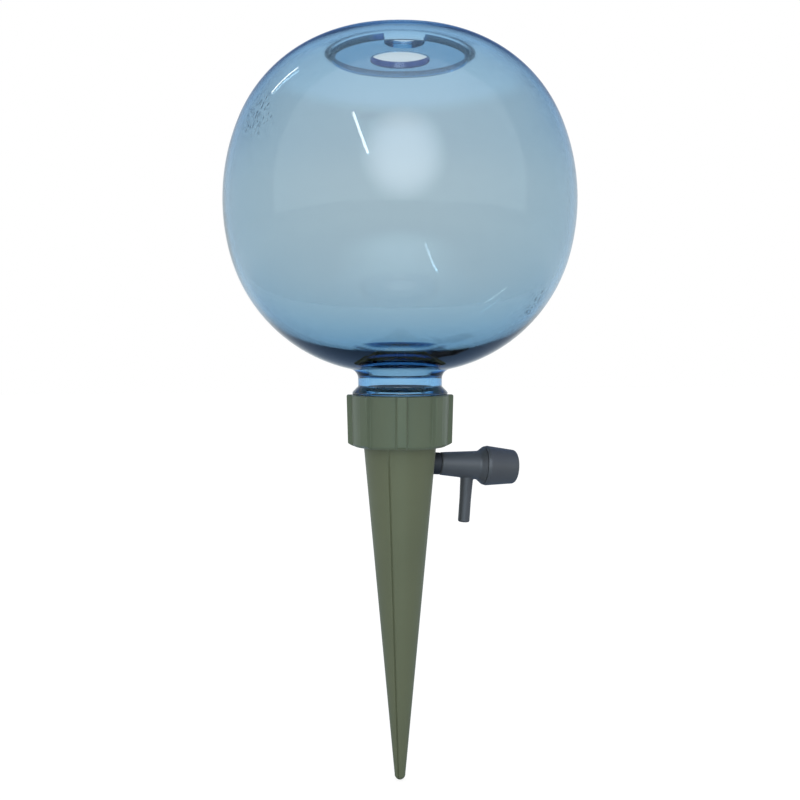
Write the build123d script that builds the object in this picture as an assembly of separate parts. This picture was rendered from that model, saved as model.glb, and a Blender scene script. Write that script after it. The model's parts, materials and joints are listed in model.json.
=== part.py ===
from build123d import *
import math
import os

# A watering globe: a clear blue ball on a threaded neck, screwed into a hollow green soil spike.
# A small grey drip valve in the spike's side lets the water out through a nozzle, and its knob
# sets the flow. A loose lid with a filling hole closes the top of the ball.
# Millimetres, +Z up. The origin is on the axis at the soil line, and the valve points along +X.

# Ground spike
SPIKE_DEPTH = 80.0            # soil line down to the tip
SPIKE_TOP = 37.5              # soil line up to the underside of the collar
SPIKE_TOP_RADIUS = 12.5
SPIKE_TIP_RADIUS = 1.9
SPIKE_WALL = 2.0
CHAMBER_DEPTH = 30.0          # soil line down to the bottom of the water chamber
CHAMBER_POINT = 6.0           # length of the chamber's pointed end
SEAM_DEPTH = 0.45             # fine groove down the side where the two mould halves met
SEAM_BEARING = -122.0         # turned from +X, in degrees
SEAM_COUNT = 2

# Threaded collar at the top of the spike
COLLAR_HEIGHT = 17.8
COLLAR_FLOOR = 2.4
COLLAR_WALL = 2.5             # between the thread and the foot of the grip ribs
COLLAR_DRAFT = 1.5            # degrees, wider at the top
COLLAR_EDGE = 1.2             # bevel of the lower edge
RIB_COUNT = 8
RIB_HEIGHT = 1.5
RIB_CREST = 2.7
RIB_FOOT = 4.3
RIB_BEARING = -12.0

# Neck thread, the same on the ball and in the collar
THREAD_RADIUS = 13.7          # over the crests of the neck's thread
THREAD_DEPTH = 1.2
THREAD_PITCH = 3.18
THREAD_FLANK = 24.6           # slope of the flanks, in degrees
THREAD_CLEARANCE = 0.25
THREAD_START = 2.2            # mouth of the neck up to the middle of the first turn
THREAD_TOP = 3.25             # top of the collar down to the middle of its last turn
THREAD_ROOT_OVERLAP = 0.3     # how far a ridge reaches into the wall that carries it

# Ball
GLOBE_RADIUS = 59.8
GLOBE_WALL = 2.0
EQUATOR_HEIGHT = 65.2         # top of the collar up to the widest circle
BELT_ARC = 69.4               # radius of the profile at the widest circle
UPPER_ARC = 48.8              # radius of the profile above it
UPPER_ARC_START = 22.9        # where the upper arc takes over, in degrees
LOWER_ARC = 53.5
LOWER_ARC_START = 14.8
CROWN_EXTRA = 0.9             # how much tighter the inside curves near the top, which thickens it
SHOULDER_EXTRA = 3.7          # the same near the neck
NECK_RADIUS = 14.4
NECK_BORE = 10.9
NECK_FILLET = 3.5
SHOULDER_FILLET = 5.0         # inside rounding from the ball into the neck
FLANGE_RADIUS = 16.4
FLANGE_EDGE = 0.7
FLANGE_BEVEL = 2.0
FLANGE_GAP = 0.2              # collar's top edge up to the flange

# Opening in the top of the ball, and its lid
OPENING_RADIUS = 24.4
OPENING_RIM = 1.0             # thickness of the ring that the lid lies on
RECESS_DEPTH = 1.2
LID_FLANGE = 1.0
LID_LEDGE = 1.6               # how far the lid's flange lies on the ring
LID_PLUG = 3.7                # underside of the flange down to the lid's underside
LID_DRAFT = 8.0               # degrees
LID_FLOOR = 2.6
LID_WALL = 1.0
LID_CLEARANCE = 0.3
FILL_HOLE_RADIUS = 10.0
NOTCH_WIDTH = 13.0
NOTCH_REACH = 14.0            # axis out to the round end of the finger notch
NOTCH_BEARING = -100.0

# Neck gasket
GASKET_THICKNESS = 2.0
GASKET_CLEARANCE = 0.35
GASKET_INSET = 0.9            # how far the gasket reaches in past the neck's bore

# Drip valve, measured along its own axis out from the spike's wall
VALVE_HEIGHT = 31.2           # soil line up to the axis at the wall
VALVE_TILT = 4.0              # degrees, pointing down from level
SPIGOT_RADIUS = 2.2
SPIGOT_BORE = 1.2
SPIGOT_BARB = 0.5
SPIGOT_POINT = 1.4
GROMMET_WALL = 1.0
GROMMET_LIP = 0.6
GROMMET_COLLAR = 2.0          # length outside the wall
GROMMET_TAIL = 0.8            # length inside the wall
SWIVEL_GAP = 0.1
RUNNING_CLEARANCE = 0.05
BARREL_LENGTH = 14.0
BARREL_START_RADIUS = 3.95
BARREL_END_RADIUS = 5.05
BARREL_ROUNDING = 0.9
FLARE_LENGTH = 2.0
FLARE_RADIUS = 6.6
FLARE_FILLET = 1.6            # hollow rounding from the barrel into the flare
NOZZLE_PLACE = 10.5           # start of the barrel out to the nozzle's axis
NOZZLE_REACH = 20.2           # valve axis down to the nozzle's end
NOZZLE_RADIUS = 2.05
NOZZLE_ROOT_RADIUS = 2.3
NOZZLE_TAPER = 7.0            # length of the taper below the barrel
NOZZLE_BORE = 1.0
NOZZLE_ROUNDING = 0.6
NOZZLE_FILLET = 0.5           # hollow rounding where the nozzle leaves the barrel
PLUG_RADIUS = 2.5             # bore in which the spindle turns
PLUG_WALL = 2.4               # solid barrel left between that bore and the spigot
BOSS_LENGTH = 3.9
BOSS_RADIUS = 5.0
SNAP_DEPTH = 0.4
SNAP_WIDTH = 1.0
SNAP_CLEARANCE = 0.15
STOP_HEIGHT = 0.9
STOP_ARC = 240.0              # degrees, which leaves the knob a quarter turn
STOP_INSET = 0.7              # in from each edge of the boss

# Spindle and its sealing ring
SPINDLE_END_GAP = 0.3
PORT_RADIUS = 0.9
DRIVE_WIDTH = 3.0
RING_SECTION = 0.9
RING_SEAT = 2.2               # face of the flare back to the middle of the ring
RING_CLEARANCE = 0.02

# Knob
KNOB_GAP = 0.2
KNOB_LENGTH = 11.8
KNOB_RADIUS = 7.0
KNOB_END_RADIUS = 5.9
KNOB_LIP = 1.1
KNOB_LIP_DROP = 0.3
KNOB_LIP_ROUNDING = 0.8
KNOB_ROUNDING = 1.3
KNOB_WALL = 1.3
KNOB_END_WALL = 1.8
HUB_WALL = 0.8
WEB_WIDTH = 1.2
WEB_LEAD = 6.0                # gap between the web and the stop at rest, in degrees

# Places that follow from the sizes above
COLLAR_TOP = SPIKE_TOP + COLLAR_HEIGHT
SOCKET_FLOOR = SPIKE_TOP + COLLAR_FLOOR
NECK_MOUTH = SOCKET_FLOOR + GASKET_THICKNESS
FLANGE_UNDERSIDE = COLLAR_TOP + FLANGE_GAP
EQUATOR = COLLAR_TOP + EQUATOR_HEIGHT
SOCKET_RADIUS = THREAD_RADIUS + THREAD_CLEARANCE
NECK_ROOT = THREAD_RADIUS - THREAD_DEPTH
NECK_TURN = NECK_MOUTH + THREAD_START
COLLAR_TURN = NECK_TURN + THREAD_PITCH / 2
THREAD_LENGTH = COLLAR_TOP - THREAD_TOP - COLLAR_TURN
PASSAGE_RADIUS = NECK_BORE - GASKET_INSET
COLLAR_RADIUS = SOCKET_RADIUS + COLLAR_WALL
RECESS_RADIUS = OPENING_RADIUS + LID_LEDGE + LID_CLEARANCE


def cone_angle():
    """Half angle of the spike, from its top edge to the tangent of the round tip."""
    tip_centre = SPIKE_TIP_RADIUS - SPIKE_DEPTH
    rise = SPIKE_TOP - tip_centre
    slant = math.hypot(SPIKE_TOP_RADIUS, rise)
    return math.atan2(SPIKE_TOP_RADIUS, rise) - math.asin(SPIKE_TIP_RADIUS / slant)


CONE = cone_angle()
WALL_RADIUS = SPIKE_TOP_RADIUS - (SPIKE_TOP - VALVE_HEIGHT) * math.tan(CONE)
CHAMBER_RADIUS = SPIKE_TOP_RADIUS - SPIKE_WALL / math.cos(CONE)

# The valve's own frame: Z runs out along its axis, and X runs down along the nozzle
VALVE = Plane(
    origin=(WALL_RADIUS, 0, VALVE_HEIGHT),
    x_dir=(-math.sin(math.radians(VALVE_TILT)), 0, -math.cos(math.radians(VALVE_TILT))),
    z_dir=(math.cos(math.radians(VALVE_TILT)), 0, -math.sin(math.radians(VALVE_TILT))),
)
GROMMET_RADIUS = SPIGOT_RADIUS + RUNNING_CLEARANCE + GROMMET_WALL
BARREL_START = GROMMET_COLLAR + SWIVEL_GAP
FLARE_START = BARREL_START + BARREL_LENGTH
FLARE_END = FLARE_START + FLARE_LENGTH
BOSS_END = FLARE_END + BOSS_LENGTH
NOZZLE_AXIS = BARREL_START + NOZZLE_PLACE
PLUG_START = BARREL_START + PLUG_WALL
RING_PLACE = FLARE_END - RING_SEAT
SNAP_PLACE = FLARE_END + BOSS_LENGTH / 2
KNOB_START = FLARE_END + KNOB_GAP
KNOB_END = KNOB_START + KNOB_LENGTH
SPINDLE_RADIUS = PLUG_RADIUS - RUNNING_CLEARANCE
SKIRT_RADIUS = BOSS_RADIUS + SNAP_CLEARANCE
DRIVE_START = BOSS_END + STOP_HEIGHT
KNOB_ROOF = KNOB_END - KNOB_END_WALL
BARB_END = -SPIKE_WALL - GROMMET_TAIL - SWIVEL_GAP
SPIGOT_END = BARB_END - SPIGOT_POINT


def spike_radius(height):
    """Outer radius of the spike at a height."""
    return SPIKE_TOP_RADIUS - (SPIKE_TOP - height) * math.tan(CONE)


def face_of(*curves):
    """Face bounded by curves that meet end to end."""
    return make_face([edge for curve in curves for edge in curve.edges()])


def section(*outline):
    """Face in the XZ plane through (radius, height) points."""
    return face_of(Polyline(*[(r, 0, z) for r, z in outline], close=True))


def turned(*outline):
    """Solid of revolution about Z of the outline through (radius, height) points."""
    return revolve(section(*outline), Axis.Z)


def rod(radius, start, end):
    """Cylinder on the Z axis between two heights."""
    return turned((0, start), (radius, start), (radius, end), (0, end))


def ring_edges(shape, radius, height):
    """Circular edges of a turned shape at a radius and a height."""
    found = []
    for edge in shape.edges().filter_by(GeomType.CIRCLE):
        if math.isclose(edge.radius, radius, abs_tol=1e-6) and math.isclose(edge.arc_center.Z, height, abs_tol=1e-6):
            found.append(edge)
    return found


def on_circle(centre, radius, degrees):
    """Point (radius, height) on a circle of a profile."""
    turn = math.radians(degrees)
    return centre[0] + radius * math.cos(turn), centre[1] + radius * math.sin(turn)


def profile_arc(centre, radius, start, end):
    """Arc of a profile in the XZ plane between two angles in degrees."""
    stops = (start, (start + end) / 2, end)
    points = [on_circle(centre, radius, stop) for stop in stops]
    return ThreePointArc(*[(r, 0, z) for r, z in points])


def angle_at_height(centre, radius, height):
    """Angle in degrees at which a profile circle's outer side passes a height."""
    return math.degrees(math.asin((height - centre[1]) / radius))


def angle_at_radius(centre, radius, distance):
    """Angle in degrees at which a profile circle's upper side passes a distance from the axis."""
    return math.degrees(math.acos((distance - centre[0]) / radius))


def thread_ridge(wall_radius, side, first_height):
    """Helical ridge on a wall; side is 1 for a thread outside the wall and -1 for one inside it."""
    slope = math.tan(math.radians(THREAD_FLANK))
    span = THREAD_PITCH / 2 - THREAD_CLEARANCE + slope * (THREAD_DEPTH + THREAD_CLEARANCE)
    half_foot = span / 2 + slope * THREAD_ROOT_OVERLAP
    half_crest = span / 2 - slope * THREAD_DEPTH
    foot = wall_radius - side * THREAD_ROOT_OVERLAP
    crest = wall_radius + side * THREAD_DEPTH
    tooth = section((foot, -half_foot), (crest, -half_crest), (crest, half_crest), (foot, half_foot))
    path = Helix(pitch=THREAD_PITCH, height=THREAD_LENGTH, radius=wall_radius)
    return Pos(0, 0, first_height) * sweep(tooth, path=path, is_frenet=True)


def corner_arc(wall_radius, centre, arc_radius, fillet_radius):
    """Centre and touching angle of the rounding between the neck's wall and the ball's lower arc."""
    out = wall_radius + fillet_radius - centre[0]
    drop = math.sqrt((arc_radius + fillet_radius) ** 2 - out ** 2)
    touch = -math.degrees(math.atan2(drop, out))
    return (wall_radius + fillet_radius, centre[1] - drop), touch


def belt_centre():
    return GLOBE_RADIUS - BELT_ARC, EQUATOR


def tangent_centre(radius_change, degrees):
    """Centre of an arc that takes over smoothly from the belt at an angle."""
    return on_circle(belt_centre(), radius_change, degrees)


def rim_height():
    """Height of the ball's outside at the edge of the lid's recess."""
    centre = tangent_centre(BELT_ARC - UPPER_ARC, UPPER_ARC_START)
    return on_circle(centre, UPPER_ARC, angle_at_radius(centre, UPPER_ARC, RECESS_RADIUS))[1]


RING_TOP = rim_height() - RECESS_DEPTH
RING_BOTTOM = RING_TOP - OPENING_RIM
LID_BOTTOM = RING_TOP - LID_PLUG


def shell_side(wall, shoulder, extra, neck, fillet):
    """Arcs of one side of the ball's wall, from the neck up, and the upper arc's centre and radius."""
    lower_radius = LOWER_ARC - wall - shoulder
    lower = tangent_centre(BELT_ARC - wall - lower_radius, -LOWER_ARC_START)
    upper_radius = UPPER_ARC - wall - extra
    upper = tangent_centre(BELT_ARC - wall - upper_radius, UPPER_ARC_START)
    corner, touch = corner_arc(neck, lower, lower_radius, fillet)
    arcs = [
        profile_arc(corner, fillet, 180, touch + 180),
        profile_arc(lower, lower_radius, touch, -LOWER_ARC_START),
        profile_arc(belt_centre(), BELT_ARC - wall, -LOWER_ARC_START, UPPER_ARC_START),
    ]
    return arcs, upper, upper_radius, corner


def reservoir_globe():
    """The ball: one blown shell with its threaded neck, flange and lid opening."""
    outside, upper, radius, corner = shell_side(0, 0, 0, NECK_RADIUS, NECK_FILLET)
    outside.append(profile_arc(upper, radius, UPPER_ARC_START, angle_at_radius(upper, radius, RECESS_RADIUS)))
    inside, crown, crown_radius, throat = shell_side(
        GLOBE_WALL, SHOULDER_EXTRA, CROWN_EXTRA, NECK_BORE, SHOULDER_FILLET
    )
    crown_end = angle_at_height(crown, crown_radius, RING_BOTTOM)
    inside.append(profile_arc(crown, crown_radius, UPPER_ARC_START, crown_end))
    bevel_top = FLANGE_UNDERSIDE + FLANGE_EDGE + FLANGE_BEVEL
    neck_line = [
        (NECK_BORE, throat[1]),
        (NECK_BORE, NECK_MOUTH),
        (NECK_ROOT, NECK_MOUTH),
        (NECK_ROOT, FLANGE_UNDERSIDE),
        (FLANGE_RADIUS, FLANGE_UNDERSIDE),
        (FLANGE_RADIUS, FLANGE_UNDERSIDE + FLANGE_EDGE),
        (NECK_RADIUS, bevel_top),
        (NECK_RADIUS, corner[1]),
    ]
    rim_line = [
        (RECESS_RADIUS, rim_height()),
        (RECESS_RADIUS, RING_TOP),
        (OPENING_RADIUS, RING_TOP),
        (OPENING_RADIUS, RING_BOTTOM),
        on_circle(crown, crown_radius, crown_end),
    ]
    lines = [Polyline(*[(r, 0, z) for r, z in line]) for line in (neck_line, rim_line)]
    shell = revolve(face_of(*lines, *outside, *inside), Axis.Z)
    return shell + thread_ridge(NECK_ROOT, 1, NECK_TURN)


def filler_lid():
    """Dished lid with a flange, a filling hole and a finger notch in its floor beside the wall."""
    plug = OPENING_RADIUS - LID_CLEARANCE
    foot = plug - LID_PLUG * math.tan(math.radians(LID_DRAFT))
    flange = OPENING_RADIUS + LID_LEDGE
    dish = turned(
        (FILL_HOLE_RADIUS, LID_BOTTOM),
        (foot, LID_BOTTOM),
        (plug, RING_TOP),
        (flange, RING_TOP),
        (flange, RING_TOP + LID_FLANGE),
        (plug - LID_WALL, RING_TOP + LID_FLANGE),
        (foot - LID_WALL, LID_BOTTOM + LID_FLOOR),
        (FILL_HOLE_RADIUS, LID_BOTTOM + LID_FLOOR),
    )
    round_end = Pos(NOTCH_REACH + NOTCH_WIDTH / 2, 0, LID_BOTTOM)
    notch = round_end * rod(NOTCH_WIDTH / 2, 0, LID_PLUG)
    notch += round_end * Box(flange, NOTCH_WIDTH, LID_PLUG, align=(Align.MIN, Align.CENTER, Align.MIN))
    notch &= rod(foot - LID_WALL, LID_BOTTOM, RING_TOP)
    return dish - Rot(0, 0, NOTCH_BEARING) * notch


def neck_gasket():
    """Flat sealing washer between the neck's mouth and the floor of the collar."""
    outer = SOCKET_RADIUS - GASKET_CLEARANCE
    return turned(
        (PASSAGE_RADIUS, SOCKET_FLOOR),
        (outer, SOCKET_FLOOR),
        (outer, NECK_MOUTH),
        (PASSAGE_RADIUS, NECK_MOUTH),
    )


def grip_ribs():
    """Ribs round the collar, cut to its draft."""
    drift = COLLAR_HEIGHT * math.tan(math.radians(COLLAR_DRAFT))
    crest = COLLAR_RADIUS + RIB_HEIGHT
    sleeve = turned((0, SPIKE_TOP), (crest, SPIKE_TOP), (crest + drift, COLLAR_TOP), (0, COLLAR_TOP))
    root = SOCKET_RADIUS + COLLAR_WALL / 2
    tip = crest + drift + RIB_HEIGHT
    slope = (RIB_FOOT - RIB_CREST) / 2 / RIB_HEIGHT
    half_root = RIB_FOOT / 2 + slope * (COLLAR_RADIUS - root)
    half_tip = RIB_CREST / 2 - slope * (tip - crest)
    plan = Polyline((root, -half_root), (tip, -half_tip), (tip, half_tip), (root, half_root), close=True)
    rib = Pos(0, 0, SPIKE_TOP) * extrude(face_of(plan), COLLAR_HEIGHT)
    ribs = [Rot(0, 0, RIB_BEARING + 360 / RIB_COUNT * i) * rib for i in range(RIB_COUNT)]
    return [sleeve & one for one in ribs]


def mould_seams():
    """Square bars set on edge, which cut the fine grooves down the spike's sides."""
    side = SEAM_DEPTH * math.sqrt(2)
    length = (SPIKE_TOP + SPIKE_DEPTH) / math.cos(CONE)
    bar = Rot(0, 0, 45) * Box(side, side, length, align=(Align.CENTER, Align.CENTER, Align.MAX))
    placed = Pos(SPIKE_TOP_RADIUS, 0, SPIKE_TOP) * Rot(0, math.degrees(CONE), 0) * bar
    return [Rot(0, 0, SEAM_BEARING + 360 / SEAM_COUNT * i) * placed for i in range(SEAM_COUNT)]


def spike_outside():
    """Solid shape of the spike and its collar, with the ribs and the seams."""
    tip_centre = SPIKE_TIP_RADIUS - SPIKE_DEPTH
    tangent = on_circle((0, tip_centre), SPIKE_TIP_RADIUS, math.degrees(CONE))
    tip = profile_arc((0, tip_centre), SPIKE_TIP_RADIUS, -90, math.degrees(CONE))
    sides = Polyline((tangent[0], 0, tangent[1]), (SPIKE_TOP_RADIUS, 0, SPIKE_TOP), (0, 0, SPIKE_TOP),
                     (0, 0, -SPIKE_DEPTH))
    cone = revolve(face_of(tip, sides), Axis.Z)
    cone -= mould_seams()
    drift = COLLAR_HEIGHT * math.tan(math.radians(COLLAR_DRAFT))
    collar = turned(
        (0, SPIKE_TOP),
        (COLLAR_RADIUS, SPIKE_TOP),
        (COLLAR_RADIUS + drift, COLLAR_TOP),
        (0, COLLAR_TOP),
    )
    grip = collar + grip_ribs()
    foot = [edge for edge in grip.edges() if edge.bounding_box().max.Z < SPIKE_TOP + COLLAR_EDGE]
    return cone + chamfer(foot, COLLAR_EDGE)


def water_way():
    """Hollow of the spike: the socket for the neck and the water chamber under it."""
    chamber_end = spike_radius(-CHAMBER_DEPTH) - SPIKE_WALL / math.cos(CONE)
    chamber = turned(
        (0, -CHAMBER_DEPTH - CHAMBER_POINT),
        (chamber_end, -CHAMBER_DEPTH),
        (CHAMBER_RADIUS, SPIKE_TOP),
        (PASSAGE_RADIUS, SOCKET_FLOOR),
        (0, SOCKET_FLOOR),
    )
    return chamber + rod(SOCKET_RADIUS, SOCKET_FLOOR, COLLAR_TOP)


def ground_spike():
    """Hollow spike with the threaded collar and the hole for the valve's grommet."""
    hole = VALVE * rod(GROMMET_RADIUS, -2 * SPIKE_WALL, SPIKE_WALL)
    body = spike_outside() - water_way() - hole
    return body + thread_ridge(SOCKET_RADIUS, -1, COLLAR_TURN)


def valve_grommet(spike):
    """Rubber grommet in the spike's side hole, shaped to the wall on both sides."""
    bore = SPIGOT_RADIUS + RUNNING_CLEARANCE
    lip = GROMMET_RADIUS + GROMMET_LIP
    tail = -SPIKE_WALL - GROMMET_TAIL
    blank = VALVE * turned((bore, tail), (lip, tail), (lip, GROMMET_COLLAR), (bore, GROMMET_COLLAR))
    return blank - spike


def barrel_blank():
    """Turned outside of the valve's body, from the barbed spigot to the boss under the knob."""
    groove = BOSS_RADIUS - SNAP_DEPTH
    blank = turned(
        (0, SPIGOT_END),
        (SPIGOT_RADIUS - SPIGOT_BARB, SPIGOT_END),
        (SPIGOT_RADIUS + SPIGOT_BARB, BARB_END),
        (SPIGOT_RADIUS, BARB_END),
        (SPIGOT_RADIUS, BARREL_START),
        (BARREL_START_RADIUS, BARREL_START),
        (BARREL_END_RADIUS, FLARE_START),
        (FLARE_RADIUS, FLARE_END),
        (BOSS_RADIUS, FLARE_END),
        (BOSS_RADIUS, SNAP_PLACE - SNAP_WIDTH / 2),
        (groove, SNAP_PLACE - SNAP_WIDTH / 2),
        (groove, SNAP_PLACE + SNAP_WIDTH / 2),
        (BOSS_RADIUS, SNAP_PLACE + SNAP_WIDTH / 2),
        (BOSS_RADIUS, BOSS_END),
        (0, BOSS_END),
    )
    blank = fillet(ring_edges(blank, BARREL_START_RADIUS, BARREL_START), BARREL_ROUNDING)
    return fillet(ring_edges(blank, BARREL_END_RADIUS, FLARE_START), FLARE_FILLET)


def nozzle():
    """Outlet tube, running down from the valve's axis."""
    taper_end = BARREL_END_RADIUS + NOZZLE_TAPER
    tube = turned(
        (0, 0),
        (NOZZLE_ROOT_RADIUS, 0),
        (NOZZLE_ROOT_RADIUS, BARREL_START_RADIUS),
        (NOZZLE_RADIUS, taper_end),
        (NOZZLE_RADIUS, NOZZLE_REACH),
        (0, NOZZLE_REACH),
    )
    tube = fillet(ring_edges(tube, NOZZLE_RADIUS, NOZZLE_REACH), NOZZLE_ROUNDING)
    return Pos(0, 0, NOZZLE_AXIS) * Rot(0, 90, 0) * tube


def nozzle_foot(shape):
    """Edges along which the nozzle leaves the barrel."""
    reach = NOZZLE_ROOT_RADIUS + NOZZLE_FILLET
    found = []
    for edge in shape.edges():
        box = edge.bounding_box()
        beside = box.min.Z > NOZZLE_AXIS - reach and box.max.Z < NOZZLE_AXIS + reach
        below = box.min.X > PLUG_RADIUS and box.max.X < BARREL_END_RADIUS + NOZZLE_FILLET
        if beside and below:
            found.append(edge)
    return found


def stop_lug():
    """Arc-shaped stop on the end of the boss."""
    inner = PLUG_RADIUS + STOP_INSET
    outer = BOSS_RADIUS - STOP_INSET
    top = BOSS_END + STOP_HEIGHT
    ring = section((inner, BOSS_END), (outer, BOSS_END), (outer, top), (inner, top))
    return revolve(ring, Axis.Z, STOP_ARC)


def valve_body():
    """Valve moulding: spigot, barrel, nozzle, flare and the boss that the knob snaps onto."""
    outside = barrel_blank() + nozzle()
    outside = fillet(nozzle_foot(outside), NOZZLE_FILLET) + stop_lug()
    inlet = rod(SPIGOT_BORE, SPIGOT_END, PLUG_START)
    plug_bore = rod(PLUG_RADIUS, PLUG_START, BOSS_END)
    outlet = Pos(0, 0, NOZZLE_AXIS) * Rot(0, 90, 0) * rod(NOZZLE_BORE, 0, NOZZLE_REACH)
    return VALVE * (outside - inlet - plug_bore - outlet)


def square_drive():
    """Square end of the spindle, which fills the knob's socket."""
    length = KNOB_ROOF - DRIVE_START
    square = Box(DRIVE_WIDTH, DRIVE_WIDTH, length, align=(Align.CENTER, Align.CENTER, Align.MIN))
    return Pos(0, 0, DRIVE_START) * square


def valve_spindle():
    """Metering spindle: a plug whose side port turns down to the nozzle, a ring seat and a square drive."""
    start = PLUG_START + SPINDLE_END_GAP
    seat = SPINDLE_RADIUS + RUNNING_CLEARANCE - RING_CLEARANCE - RING_SECTION
    plug = turned(
        (0, start),
        (SPINDLE_RADIUS, start),
        (SPINDLE_RADIUS, RING_PLACE - RING_SECTION / 2),
        (seat, RING_PLACE - RING_SECTION / 2),
        (seat, RING_PLACE + RING_SECTION / 2),
        (SPINDLE_RADIUS, RING_PLACE + RING_SECTION / 2),
        (SPINDLE_RADIUS, DRIVE_START),
        (0, DRIVE_START),
    )
    inlet = rod(SPIGOT_BORE, start, NOZZLE_AXIS)
    port = Pos(0, 0, NOZZLE_AXIS) * Rot(90, 0, 0) * rod(PORT_RADIUS, 0, PLUG_RADIUS)
    return VALVE * (plug + square_drive() - inlet - port)


def spindle_ring():
    """Sealing ring round the spindle."""
    centre = PLUG_RADIUS - RING_CLEARANCE - RING_SECTION / 2
    return VALVE * (Pos(0, 0, RING_PLACE) * Torus(centre, RING_SECTION / 2))


def knob_outside():
    """Tapered outside of the knob, with a bevelled lip and a rounded end."""
    blank = turned(
        (0, KNOB_START),
        (KNOB_RADIUS - KNOB_LIP_DROP, KNOB_START),
        (KNOB_RADIUS, KNOB_START + KNOB_LIP),
        (KNOB_END_RADIUS, KNOB_END),
        (0, KNOB_END),
    )
    blank = fillet(ring_edges(blank, KNOB_RADIUS, KNOB_START + KNOB_LIP), KNOB_LIP_ROUNDING)
    return fillet(ring_edges(blank, KNOB_END_RADIUS, KNOB_END), KNOB_ROUNDING)


def regulator_knob():
    """Knob: a hollow cap that snaps over the boss, with a hub on the spindle's square drive."""
    seat = BOSS_END + SNAP_CLEARANCE
    hub_start = DRIVE_START + SNAP_CLEARANCE
    bead = BOSS_RADIUS - SNAP_DEPTH + SNAP_CLEARANCE
    bead_half = SNAP_WIDTH / 2 - SNAP_CLEARANCE
    hollow = turned(
        (0, KNOB_START),
        (SKIRT_RADIUS, KNOB_START),
        (SKIRT_RADIUS, SNAP_PLACE - bead_half),
        (bead, SNAP_PLACE - bead_half),
        (bead, SNAP_PLACE + bead_half),
        (SKIRT_RADIUS, SNAP_PLACE + bead_half),
        (SKIRT_RADIUS, seat),
        (KNOB_END_RADIUS - KNOB_WALL, KNOB_ROOF),
        (0, KNOB_ROOF),
    )
    hub = rod(DRIVE_WIDTH / math.sqrt(2) + HUB_WALL, hub_start, KNOB_END - KNOB_END_WALL / 2)
    web = Pos(0, 0, seat) * Rot(0, 0, STOP_ARC + WEB_LEAD) * Box(
        SKIRT_RADIUS, WEB_WIDTH, KNOB_ROOF - seat, align=(Align.MIN, Align.MIN, Align.MIN)
    )
    shaft_room = rod(SPINDLE_RADIUS + SNAP_CLEARANCE, KNOB_START, hub_start)
    inner = hub + (web & hollow) - shaft_room
    return VALVE * (knob_outside() - hollow + inner - square_drive())


def main():
    os.makedirs("parts", exist_ok=True)
    spike = ground_spike()
    nodes = {
        "reservoir_globe": reservoir_globe(),
        "filler_lid": filler_lid(),
        "neck_gasket": neck_gasket(),
        "ground_spike": spike,
        "valve_grommet": valve_grommet(spike),
        "valve_body": valve_body(),
        "valve_spindle": valve_spindle(),
        "spindle_ring": spindle_ring(),
        "regulator_knob": regulator_knob(),
    }
    for name, shape in nodes.items():
        export_step(shape, f"parts/{name}.step")


main()
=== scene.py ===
# %% [markdown]
# # A watering globe
# The object is a clear blue plastic ball on a green soil spike, with a small grey drip valve in the
# spike's side. The ball is filled through a hole in its lid, and the water runs down through the neck
# into the hollow spike and out through the valve. This lesson dresses the finished construction: it
# loads the solid parts first, and everything that follows takes its place and size from them.

# %% Load the solid parts
import json
import math

import bmesh
import bpy
from mathutils import Matrix, Vector


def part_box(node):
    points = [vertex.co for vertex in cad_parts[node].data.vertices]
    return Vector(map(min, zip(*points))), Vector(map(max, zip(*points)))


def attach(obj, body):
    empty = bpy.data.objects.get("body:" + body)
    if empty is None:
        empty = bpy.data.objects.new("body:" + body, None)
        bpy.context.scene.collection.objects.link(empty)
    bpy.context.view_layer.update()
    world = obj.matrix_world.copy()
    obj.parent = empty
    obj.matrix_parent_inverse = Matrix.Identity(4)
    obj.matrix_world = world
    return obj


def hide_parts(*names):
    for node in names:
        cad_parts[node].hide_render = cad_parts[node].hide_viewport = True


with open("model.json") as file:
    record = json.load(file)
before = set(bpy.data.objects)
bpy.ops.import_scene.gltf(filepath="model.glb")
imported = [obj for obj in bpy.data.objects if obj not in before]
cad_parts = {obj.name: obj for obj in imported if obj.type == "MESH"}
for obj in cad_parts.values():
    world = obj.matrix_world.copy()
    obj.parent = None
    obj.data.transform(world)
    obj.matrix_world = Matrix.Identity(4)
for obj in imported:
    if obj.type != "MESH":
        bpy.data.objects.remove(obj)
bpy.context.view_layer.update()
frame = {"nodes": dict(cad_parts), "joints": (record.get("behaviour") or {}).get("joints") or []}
nodes = frame["nodes"]
MM = 0.001
print("solid parts:", ", ".join(sorted(nodes)))

# %% [markdown]
# ## The camera
# The picture that we match was taken from a little above the collar, about arm's length away. Its
# camera was found by fitting the ball's outline, so its focal length, distance and tilt are written
# here as plain numbers. The camera stands slightly to the left of the valve's broad side, which is why
# the valve points a few degrees away from us.

# %% Camera
IMAGE_PIXELS = 800
FOCAL_PIXELS = 1050
SENSOR_WIDTH = 36.0
AIM_HEIGHT = 53.4 * MM
CAMERA_DISTANCE = 362 * MM
CAMERA_BEARING = math.radians(-14)
CAMERA_RISE = math.radians(3)
NEAREST = 10 * MM                      # the camera sees nothing closer than this


def towards(bearing, rise):
    """Unit vector to a place seen at a bearing from the front and an angle above the horizon."""
    level = math.cos(rise)
    return Vector((math.sin(bearing) * level, -math.cos(bearing) * level, math.sin(rise)))


def aimed(thing, place, target):
    """Puts a camera or a lamp at a place, looking at a target."""
    thing.location = place
    thing.rotation_euler = (target - place).to_track_quat("-Z", "Y").to_euler()


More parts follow.
